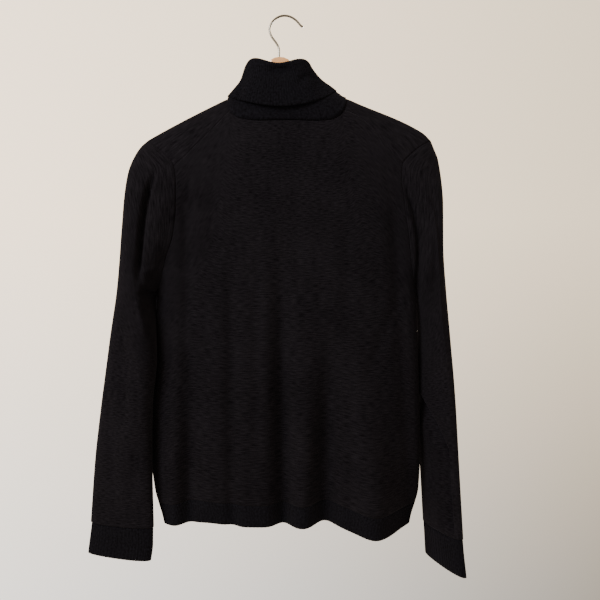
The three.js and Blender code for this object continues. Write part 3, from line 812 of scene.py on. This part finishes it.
@dataclass
class NodeKit:
    """Makes the nodes of one material or world.

    Attributes:
        tree: the node tree that they go into.
    """

    tree: bpy.types.NodeTree

    def node(self, kind: str, settings: dict[str, Any], values: dict[Any, Any]) -> bpy.types.Node:
        """Makes any node.

        Args:
            kind: its type.
            settings: its properties.
            values: its inputs by name or number, each a value, a socket or a Num.

        Returns:
            The node.
        """
        node = self.tree.nodes.new(kind)
        for key, value in settings.items():
            setattr(node, key, value)
        self.fill(node, values)
        return node

    def fill(self, node: bpy.types.Node, values: dict[Any, Any]) -> None:
        """Sets or links a node's inputs.

        Args:
            node: the node.
            values: its inputs by name or number, each a value, a socket or a Num.
        """
        for key, value in values.items():
            source = value.socket if isinstance(value, Num) else value
            if isinstance(source, bpy.types.NodeSocket):
                self.tree.links.new(source, node.inputs[key])
            else:
                node.inputs[key].default_value = source

    def bump(self, height: Num, distance: float, strength: float) -> Any:
        """Normal of a relief."""
        values = {"Height": height, "Distance": distance, "Strength": strength}
        return self.node("ShaderNodeBump", {}, values).outputs[0]

    def noise(self, vector: Any, scale: float, detail: float) -> Num:
        """Noise value at a vector."""
        values = {"Vector": vector, "Scale": scale, "Detail": detail}
        return Num(self, self.node("ShaderNodeTexNoise", {}, values).outputs[0])

    def stretched(self, vector: Any, scales: Triple) -> Any:
        """A vector scaled apart on each axis."""
        node = self.node("ShaderNodeVectorMath", {"operation": "MULTIPLY"}, {0: vector, 1: scales})
        return node.outputs[0]

    def blend(self, share: Any, a: Sequence[float], b: Sequence[float]) -> Any:
        """A colour between two.

        Args:
            share: how much of the second.
            a, b: the colours.

        Returns:
            The colour's socket.
        """
        settings = {"data_type": "RGBA"}
        values = {0: share, 6: (*a, 1.0), 7: (*b, 1.0)}
        return self.node("ShaderNodeMix", settings, values).outputs[2]


@dataclass(frozen=True)
class Finish:
    """Base of the finishes.

    Attributes:
        name: the material's name.
    """

    name: str

    def material(self) -> bpy.types.Material:
        """Builds the material.

        Returns:
            The material.
        """
        material = bpy.data.materials.new(self.name)
        material.use_nodes = True
        kit = NodeKit(material.node_tree)
        kit.fill(material.node_tree.nodes["Principled BSDF"], self.inputs(kit))
        return material

    def inputs(self, kit: NodeKit) -> dict[str, Any]:
        """Inputs of its shader, as each kind of finish gives them."""
        raise NotImplementedError


@dataclass(frozen=True)
class Knit(Finish):
    """Dark knit with fine streaks of lighter fibre.

    Attributes:
        dark, light: the yarn's colours.
        streak, stitch: streaks and stitches for each metre, along and across their rows.
        bump: height of the stitches' relief in metres.
        sheen: weight of the fuzz.
    """

    dark: Triple = (0.0011, 0.0010, 0.0013)
    light: Triple = (0.0066, 0.0060, 0.0076)
    streak: Triple = (90.0, 620.0, 1.0)
    stitch: Triple = (700.0, 1100.0, 1.0)
    bump: float = 0.00035
    sheen: float = 0.05

    def inputs(self, kit: NodeKit) -> dict[str, Any]:
        """Streaks and stitches on the piece's flat places, with clouds over both.

        Args:
            kit: makes its nodes.

        Returns:
            The shader's inputs.
        """
        uv = kit.node("ShaderNodeUVMap", {"uv_map": "cloth"}, {}).outputs[0]
        place = kit.node("ShaderNodeTexCoord", {}, {}).outputs["Object"]
        streaks = kit.noise(kit.stretched(uv, self.streak), 1.0, 3.0)
        stitches = kit.noise(kit.stretched(uv, self.stitch), 1.0, 1.0)
        clouds = kit.noise(place, 16.0, 2.0)
        # lighter fibre lies mostly in the streaks
        share = (streaks - 0.28) * 1.5 + (stitches - 0.5) * 0.5 + (clouds - 0.5) * 0.35
        return {
            "Base Color": kit.blend(share.clamped(), self.dark, self.light),
            "Normal": kit.bump(streaks * 0.6 + stitches * 0.4, self.bump, 0.6),
            "Roughness": 0.92,
            "Specular IOR Level": 0.0,
            "Sheen Weight": self.sheen,
            "Sheen Roughness": 0.55,
            "Sheen Tint": (0.16, 0.15, 0.18, 1.0),
        }


@dataclass(frozen=True)
class Varnished(Finish):
    """Pale varnished wood with grain along the bar.

    Attributes:
        dark, light: the wood's colours.
        grain: lines of grain for each metre on each axis.
    """

    dark: Triple = (0.22, 0.105, 0.036)
    light: Triple = (0.40, 0.2, 0.066)
    grain: Triple = (9.0, 120.0, 170.0)

    def inputs(self, kit: NodeKit) -> dict[str, Any]:
        """Grain under varnish.

        Args:
            kit: makes its nodes.

        Returns:
            The shader's inputs.
        """
        place = kit.node("ShaderNodeTexCoord", {}, {}).outputs["Object"]
        grain = kit.noise(kit.stretched(place, self.grain), 1.0, 4.0)
        return {
            "Base Color": kit.blend(grain, self.dark, self.light),
            "Normal": kit.bump(grain, 0.0002, 0.3),
            "Roughness": 0.42,
            "Coat Weight": 0.3,
        }


@dataclass(frozen=True)
class Wire(Finish):
    """Bright drawn wire.

    Attributes:
        colour: the metal's colour.
    """

    colour: Triple = (0.085, 0.08, 0.068)

    def inputs(self, kit: NodeKit) -> dict[str, Any]:
        """Metal with faint wear.

        Args:
            kit: makes its nodes.

        Returns:
            The shader's inputs.
        """
        place = kit.node("ShaderNodeTexCoord", {}, {}).outputs["Object"]
        wear = kit.noise(place, 260.0, 2.0)
        roughness = wear * 0.15 + 0.2
        return {"Base Color": (*self.colour, 1.0), "Metallic": 1.0, "Roughness": roughness}


@dataclass(frozen=True)
class Plain(Finish):
    """Matt paint.

    Attributes:
        colour: its colour.
    """

    colour: Triple = (0.72, 0.68, 0.62)

    def inputs(self, kit: NodeKit) -> dict[str, Any]:
        """One colour, without a shine."""
        return {"Base Color": (*self.colour, 1.0), "Roughness": 0.9}


def knit_relief(shape: tuple[int, int], count: int) -> Array:
    """Rounded ribs up the columns of a grid: a power of the sine, or flat where there are none.

    Args:
        shape: rows and columns of the grid.
        count: how many ribs there are across it.

    Returns:
        How far each point stands out.
    """
    if not count:
        return np.zeros(shape)
    phase = np.linspace(0, count, shape[1], endpoint=False) * np.pi
    ribs = np.abs(np.sin(phase)) ** 0.7
    return np.broadcast_to((ribs - 0.6) * RIB_HEIGHT, shape).copy()


def roll_edges(relief: Array, depth: float) -> Array:
    """Sinks the first and last rows a little, as cloth rolls into a seam.

    Args:
        relief: how far each point stands out.
        depth: how far the edges sink.

    Returns:
        The relief, changed in place.
    """
    dip = depth * (1 - np.arange(ROLL_ROWS) / ROLL_ROWS) ** 2
    relief[:ROLL_ROWS] -= dip[:, None]
    relief[-ROLL_ROWS:] -= dip[::-1, None]
    return relief


@dataclass(kw_only=True)
class Piece:
    """A piece of cloth that stands for one solid.

    Attributes:
        node: the solid's name.
        slot: the record's slot.
        flat: width and length of its cut, in metres; not used.
        area: the cut's area in square metres, where it isn't the whole of that; not used.
        thick: its wall.
        ribs: ribs across it, or 0 on plain knit.
        roll: how far its edges roll into the seams.
        ring: whether its rows close on themselves.
    """

    node: str
    slot: str
    flat: tuple[float, float]
    area: float | None = None
    thick: float = JERSEY
    ribs: int = 0
    roll: ClassVar[float] = ROLL
    ring: ClassVar[bool] = False

    def surface(self) -> Array:
        """Points of the face that shows, as each kind of piece gives them."""
        raise NotImplementedError

    def build(self, material: bpy.types.Material) -> None:
        """Makes the wall, named after the solid that it stands for, gives it its finish and hides that
        solid.

        Args:
            material: the finish.
        """
        grid = self.surface()
        relief = roll_edges(knit_relief(grid.shape[:2], self.ribs), self.roll)
        obj = wall_mesh("knit_" + self.node, grid, self.thick, self.ring, relief)
        obj.data.materials.append(material)
        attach(obj, "root")
        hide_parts(self.node)
        log.info("%s: %d faces", obj.name, len(obj.data.polygons))


@dataclass(kw_only=True)
class BackPanel(Piece):
    """The back, up to the shoulder seams and the neck.

    Attributes:
        columns: columns of its mesh.
        per_row: rows of its mesh for each row of the panel.
    """

    columns: int = 224
    per_row: int = 8
    roll: ClassVar[float] = PANEL_ROLL

    def surface(self) -> Array:
        """Points of the panel's outside, in columns from side to side.

        Returns:
            A grid of points.
        """
        form = BODY_FORM
        end_z = form.seam_end_z
        rows = BACK_LOW_ROWS + HALF_ARMHOLE - OVER_ROWS
        j, u = sheet_rows(rows, rows * self.per_row, self.columns)
        left = u < 0.5
        t = np.minimum(u, 1 - u) / NECK_FROM
        on_shoulder = t <= 1
        seam_x, seam_turn = form.seam_place(left, np.minimum(t, 1))
        part = (u - NECK_FROM) / (1 - 2 * NECK_FROM)
        neck_x, neck_turn = form.neck_place(mix(np.pi - NECK_JOIN, NECK_JOIN, part))
        end_x = np.where(on_shoulder, seam_x, neck_x)
        end_turn = np.where(on_shoulder, seam_turn, neck_turn)
        top_z = RIDGE.at("z", end_x) - form.drop(end_turn) - SEAM_GAP
        v = form.row_share(j, BACK_LOW_ROWS, end_z)
        z = mix(form.band_z(u) + SEAM_GAP / 2, top_z, v)
        low_z = np.minimum(z, end_z)
        join_x, _ = form.join_place(left)
        aim = np.where(on_shoulder, mix(form.edge_at(left, low_z), join_x, t), end_x)
        x = mix(form.panel_x(u, low_z), aim, smooth((v - 0.5) / 0.5))
        return form.at_height(x, z, Side.BACK)


@dataclass(kw_only=True)
class FrontPanel(Piece):
    """The front, which runs over both shoulders to the seams on the back.

    Attributes:
        columns: columns of its mesh.
        per_row: rows of its mesh for each row of the panel.
    """

    columns: int = 200
    per_row: int = 7
    roll: ClassVar[float] = PANEL_ROLL

    def surface(self) -> Array:
        """Points of the panel's outside, in columns from side to side.

        Returns:
            A grid of points.
        """
        form = BODY_FORM
        top_row = FRONT_LOW_ROWS + HALF_ARMHOLE
        rows = top_row + OVER_ROWS
        j, u = sheet_rows(rows, rows * self.per_row, self.columns)
        left = u < 0.5
        t = np.minimum(np.minimum(u, 1 - u) / NECK_FROM, 1)
        on_shoulder = np.minimum(u, 1 - u) <= NECK_FROM
        over = np.maximum(0, j - top_row) / OVER_ROWS
        v = form.row_share(np.minimum(j, top_row), FRONT_LOW_ROWS, CORNER_Z)
        # columns lean to their ends in the upper half
        reach = smooth((v - 0.5) / 0.5)
        low = form.band_z(u) + SEAM_GAP / 2
        join_x, join_turn = form.join_place(left)
        neck_x = form.neck_x + np.where(left, -form.neck_half, form.neck_half)
        # over the shoulders, down the back
        edge_z = form.armhole_height(HALF_ARMHOLE - over * OVER_ROWS)
        edge = form.edge_at(left, edge_z)
        end_z = np.full_like(u, form.seam_end_z)
        last = form.edge_at(left, end_z)
        ends = mix(form.turn(RIDGE.at("z", last) - end_z), join_turn, t)
        plain = mix(form.turn(RIDGE.at("z", edge) - edge_z), join_turn * over, t)
        _, seam_turn = form.seam_place(left, t)
        over_x = mix(edge, mix(neck_x, join_x, over * over), t)
        over_turn = plain + over * (seam_turn - ends)
        wrap = form.point(over_x, over_turn)
        # up to the shoulders' top line
        ridge_x = mix(form.edge_at(left, np.full_like(u, CORNER_Z)), neck_x, t)
        z = mix(low, RIDGE.at("z", ridge_x), v)
        capped = np.minimum(z, CORNER_Z)
        aim = mix(form.edge_at(left, capped), neck_x, t)
        main = form.at_height(mix(form.panel_x(u, capped), aim, reach), z, Side.FRONT)
        # up to the neck
        part = (u - NECK_FROM) / (1 - 2 * NECK_FROM)
        end_x, end_turn = form.neck_place(mix(np.pi - NECK_JOIN, NECK_JOIN + 2 * np.pi, part))
        side_ridge = RIDGE.at("z", neck_x)
        side_low = -form.turn(side_ridge - low)
        side_turn = np.where(over > 0, join_turn * over, -form.turn((side_ridge - low) * (1 - v)))
        progress = (side_turn - side_low) / (join_turn - side_low)
        turn = mix(-form.turn(RIDGE.at("z", end_x) - low), end_turn, progress)
        neck_z = RIDGE.at("z", end_x) - form.drop(turn)
        x = mix(form.panel_x(u, np.minimum(neck_z, CORNER_Z)), end_x, reach)
        neck = np.where(
            (turn > 0)[..., None], form.point(x, turn), form.at_height(x, neck_z, Side.FRONT)
        )
        shoulder = np.where((over > 0)[..., None], wrap, main)
        return np.where(on_shoulder[..., None], shoulder, neck)[:, ::-1]


@dataclass(kw_only=True)
class HemBand(Piece):
    """Ribbed band along the hem of one side.

    Attributes:
        side: which side it is on.
        per_rib, rows: columns for each rib and rows of its mesh.
    """

    side: Side = Side.BACK
    per_rib: int = 6
    rows: int = 10

    def surface(self) -> Array:
        """Points of the band's outside.

        Returns:
            A grid of points.
        """
        form = BODY_FORM
        j, u = sheet_rows(1, self.rows, self.ribs * self.per_rib)
        top = form.band_z(u) - SEAM_GAP / 2
        z = mix(top - HEM_BAND, top, j)
        grid = form.at_height(form.panel_x(u, z), z, self.side)
        return grid if self.side is Side.BACK else grid[:, ::-1]


@dataclass(kw_only=True)
class Sleeve(Piece):
    """One sleeve, or the cuff on its end, as rings hung between an outer and an inner edge.

    Attributes:
        rings: its table of rings.
        folds: its creases, which a cuff has none of.
        hand: which side it is on.
        around: points round a ring.
        along: rings of the mesh.
    """

    rings: Table
    folds: tuple[Crease, ...] = ()
    hand: Hand
    around: int = 196
    along: int = 200
    ring: ClassVar[bool] = True

    def place(self, angle: Array, at: Array) -> Array:
        """Places on the tube: a squared ellipse between its edges, pushed in along the folds.

        Args:
            angle: angle round it.
            at: share of its length.

        Returns:
            An array of points.
        """
        hand = self.hand.value
        ends = [[self.rings.at(end + axis, at) for axis in "XYZ"] for end in ("out", "in")]
        out, into = (np.stack(np.broadcast_arrays(*e), -1) for e in ends)
        centre, long = (out + into) / 2, (out - into) / 2
        unit = long / np.linalg.norm(long, axis=-1, keepdims=True)
        short = np.array([0.0, 1.0, 0.0]) - unit * unit[..., 1:2]
        short /= np.linalg.norm(short, axis=-1, keepdims=True)
        c = signed_power(np.cos(angle), 2 / SLEEVE_SQUARE)
        s = signed_power(np.sin(angle), 2 / SLEEVE_SQUARE) * hand
        half = self.rings.at("half", at)
        point = centre + long * c[..., None] + short * (half * s)[..., None]
        point[..., 0] += hand * self.rings.at("dish", at) * np.sin(angle) ** 2
        side = np.where(s < 0, -1, 1)
        push = np.zeros(s.shape)
        for fold in self.folds:
            push += np.where(side == fold.side, fold.push(point[..., 0], point[..., 2]), 0)
        return point - short * (side * push * np.minimum(1, 1.5 * np.abs(s)))[..., None]

    def armhole(self, angle: Array) -> Array:
        """The armhole's ring, just outside the panels' seams.

        Args:
            angle: angle round it, 0 at the top.

        Returns:
            An array of points.
        """
        hand = self.hand.value
        z = mix(ARMPIT_Z, CORNER_Z, (1 + np.cos(angle)) / 2)
        x = ARMHOLE.at("left" if hand > 0 else "right", z) - hand * SEAM_GAP
        behind = np.sin(angle) * hand < 0
        back = BODY_FORM.at_height(x, z, Side.BACK)
        fore = BODY_FORM.at_height(x, z, Side.FRONT)
        return np.where(behind[..., None], back, fore)

    def surface(self) -> Array:
        """Points of the tube's outside, of which a sleeve's first rings meet the armhole.

        Returns:
            A grid of points.
        """
        at, angle = tube_rows(self.along, self.around)
        grid = self.place(angle, at)
        if self.folds:
            rest = np.maximum(0, 1 - at / ARMHOLE_EASE) ** 2
            start = self.place(angle, np.zeros_like(at))
            grid = grid + (self.armhole(angle) - start) * rest[..., None]
        return grid


@dataclass(kw_only=True)
class Collar(Piece):
    """Ribbed collar: a standing layer that turns over outwards.

    Attributes:
        per_rib, rows: columns for each rib and rows of its mesh.
        low_square, square: how square its ring is at the neck and further up.
    """

    per_rib: int = 6
    rows: int = 54
    low_square: float = 3.0
    square: float = 2.3
    ring: ClassVar[bool] = True

    def place(self, angle: Array, at: Array) -> Array:
        """Places on the collar: a squared ellipse whose height swings from side to back.

        Args:
            angle: angle round it, 0 at the right and a quarter turn behind.
            at: share of its length from the neck over the fold.

        Returns:
            An array of points.
        """
        c, s = np.cos(angle), np.sin(angle)
        square = mix(self.low_square, self.square, smooth(at * 3))
        reach = (np.abs(c) ** square + np.abs(s) ** square) ** (-1 / square)
        left, right = COLLAR.at("left", at), COLLAR.at("right", at)
        x = (left + right) / 2 + (right - left) / 2 * reach * c
        back = s > 0
        y = -reach * s * np.where(back, COLLAR.at("back", at), COLLAR.at("front", at))
        side = mix(COLLAR.at("sideL", at), COLLAR.at("sideR", at), (1 + reach * c) / 2)
        end = np.where(back, COLLAR.at("backZ", at), COLLAR.at("frontZ", at))
        wave = COLLAR.at("wave", at) * np.sin(2 * angle) ** 2
        z = mix(side, end, np.abs(s) ** 1.7) + wave
        # folds lie on the outer layer only
        outer = smooth((at - 0.5) / 0.12)
        y += np.where(back, folds_push(COLLAR_BACK, x, z), -folds_push(COLLAR_FRONT, x, z)) * outer
        return np.stack([x, y, z], axis=-1)

    def surface(self) -> Array:
        """Points of the face that shows, of which the first rows meet the neck.

        Returns:
            A grid of points.
        """
        at, angle = tube_rows(self.rows, self.ribs * self.per_rib)
        grid = self.place(angle, at)
        neck_x, turn = BODY_FORM.neck_place(angle)
        seam = BODY_FORM.point(neck_x, turn)
        seam[..., 2] += SEAM_GAP
        rest = np.maximum(0, 1 - at / NECK_EASE) ** 2
        return grid + (seam - self.place(angle, np.zeros_like(at))) * rest[..., None]


@dataclass(frozen=True)
class Lamp:
    """A soft square light aimed at the sweater's middle.

    Attributes:
        name: its name.
        place: where it is, in metres.
        size: length of its sides.
        power: its power in watts.
    """

    name: str
    place: Triple
    size: float
    power: float

    def build(self) -> None:
        """Adds the light."""
        lamp = bpy.data.lights.new(self.name, "AREA")
        lamp.size = self.size
        lamp.energy = self.power
        holder = add_object(self.name, lamp)
        aim = np.array([0.0, 0.0, -0.45]) - np.array(self.place)
        holder.location = self.place
        flat = math.hypot(aim[0], aim[1])
        holder.rotation_euler = (math.atan2(flat, -aim[2]), 0, math.atan2(-aim[0], aim[1]))


@dataclass
class Studio:
    """Camera, soft light, pale world and floor.

    Attributes:
        eye: the camera's place in metres.
        lens: its focal length on a 36 mm sensor.
        lamps: the lights.
        floor_z, floor_half: height and half width of the floor.
        high_left, high_right, low_left, low_right: the world's colour in its corners.
    """

    eye: Triple = (0.0256, -1.05, -0.453)
    lens: float = 39.4
    lamps: tuple[Lamp, ...] = (
        Lamp("key", (-1.45, -1.7, 0.9), 1.1, 135.0),
        Lamp("fill", (1.6, -1.5, -0.2), 1.8, 12.0),
        Lamp("rear", (1.4, 1.9, 0.3), 1.4, 110.0),
    )
    floor_z: float = -1.8
    floor_half: float = 1.65
    high_left: Triple = (2.9, 2.35, 1.75)
    high_right: Triple = (1.65, 1.34, 0.96)
    low_left: Triple = (1.8, 1.74, 1.66)
    low_right: Triple = (0.36, 0.335, 0.295)

    def build(self) -> None:
        """Sets up all of it."""
        camera = bpy.data.cameras.new("camera")
        camera.lens = self.lens
        camera.clip_start = 0.02
        holder = add_object("camera", camera)
        holder.location = self.eye
        holder.rotation_euler = (math.pi / 2, 0, 0)
        bpy.context.scene.camera = holder
        for lamp in self.lamps:
            lamp.build()
        self.world()
        self.floor()

    def world(self) -> None:
        """Pale world, a little darker to the right and below."""
        world = bpy.data.worlds.new("studio")
        world.use_nodes = True
        bpy.context.scene.world = world
        kit = NodeKit(world.node_tree)
        coords = kit.node("ShaderNodeTexCoord", {}, {}).outputs["Generated"]
        split = kit.node("ShaderNodeSeparateXYZ", {}, {0: coords}).outputs
        # shares from left to right and from a little above eye level down
        across = (Num(kit, split[0]) * 1.25 + 0.5).clamped()
        below = (Num(kit, split[2]) * -1.7 + 0.2).clamped()
        high = kit.blend(across, self.high_left, self.high_right)
        low = kit.blend(across, self.low_left, self.low_right)
        values = {0: below, 6: high, 7: low}
        mixed = kit.node("ShaderNodeMix", {"data_type": "RGBA"}, values).outputs[2]
        kit.fill(world.node_tree.nodes["Background"], {"Color": mixed})

    def floor(self) -> None:
        """Pale floor, well below the sweater."""
        half = self.floor_half
        corners = [(-half, -half), (half, -half), (half, half), (-half, half)]
        mesh = bpy.data.meshes.new("floor")
        mesh.from_pydata([(x, y, self.floor_z) for x, y in corners], [], [(0, 1, 2, 3)])
        floor = add_object("floor", mesh)
        mesh.materials.append(Plain("floor_paint").material())


@dataclass
class Hanger:
    """The bar and the hook, which keep their solids and get finishes.

    Attributes:
        bar: finish of the bar.
        hook: finish of the hook.
    """

    bar: Varnished = Varnished("hanger_wood")
    hook: Wire = Wire("hook_wire")

    def build(self, frame: dict[str, Any]) -> None:
        """Gives both their finish.

        Args:
            frame: the frame as loaded.
        """
        for node, finish in {"hanger_bar": self.bar, "hanger_hook": self.hook}.items():
            data = frame["nodes"][node].data
            data.materials.clear()
            data.materials.append(finish.material())
            log.info("%s keeps its solid", node)


@dataclass
class Sweater:
    """All the cloth of the sweater.

    Attributes:
        jersey, rib: finishes of the plain and the ribbed knit.
        sleeve, cuff: flat sizes of a sleeve and a cuff in metres.
    """

    jersey: Knit = Knit("jersey_knit")
    rib: Knit = Knit("rib_knit", light=(0.0042, 0.0042, 0.0058), streak=(380.0, 300.0, 1.0))
    sleeve: tuple[float, float] = (0.34, 0.61)
    cuff: tuple[float, float] = (0.23, 0.052)

    def pieces(self) -> list[Piece]:
        """Lists the pieces, each with its place in the garment and its flat size.

        Returns:
            The pieces in the order in which they are made.
        """
        plain = {"slot": "jersey_knit"}
        ribbed = {"slot": "rib_knit", "thick": RIB}
        hem = {"ribs": 104, **ribbed}
        cuff = {"flat": self.cuff, "around": 330, "along": 14, "ribs": 55, **ribbed}
        left = {"rings": SLEEVE_LEFT, "folds": SLEEVE_LEFT_FOLDS, "hand": Hand.LEFT}
        right = {"rings": SLEEVE_RIGHT, "folds": SLEEVE_RIGHT_FOLDS, "hand": Hand.RIGHT}
        return [
            BackPanel(node="back_panel", flat=(0.47, 0.64), area=0.27, **plain),
            FrontPanel(node="front_panel", flat=(0.47, 0.70), area=0.29, **plain),
            HemBand(node="hem_rib_back", flat=(0.45, 0.033), side=Side.BACK, **hem),
            HemBand(node="hem_rib_front", flat=(0.43, 0.033), side=Side.FRONT, **hem),
            Sleeve(node="sleeve_left", flat=self.sleeve, area=0.15, **left, **plain),
            Sleeve(node="sleeve_right", flat=self.sleeve, area=0.13, **right, **plain),
            Sleeve(node="cuff_left", rings=CUFF_LEFT, hand=Hand.LEFT, **cuff),
            Sleeve(node="cuff_right", rings=CUFF_RIGHT, hand=Hand.RIGHT, **cuff),
            Collar(node="collar", flat=(0.42, 0.16), ribs=118, **ribbed),
        ]

    def build(self) -> None:
        """Makes every piece with the finish of its slot."""
        finishes = {"jersey_knit": self.jersey.material(), "rib_knit": self.rib.material()}
        for piece in self.pieces():
            piece.build(finishes[piece.slot])


def main() -> None:
    """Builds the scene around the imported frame."""
    logging.basicConfig(level=logging.INFO, format="%(name)s %(message)s")
    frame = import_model()
    Studio().build()
    Sweater().build()
    Hanger().build(frame)


if __name__ == "__main__":
    main()
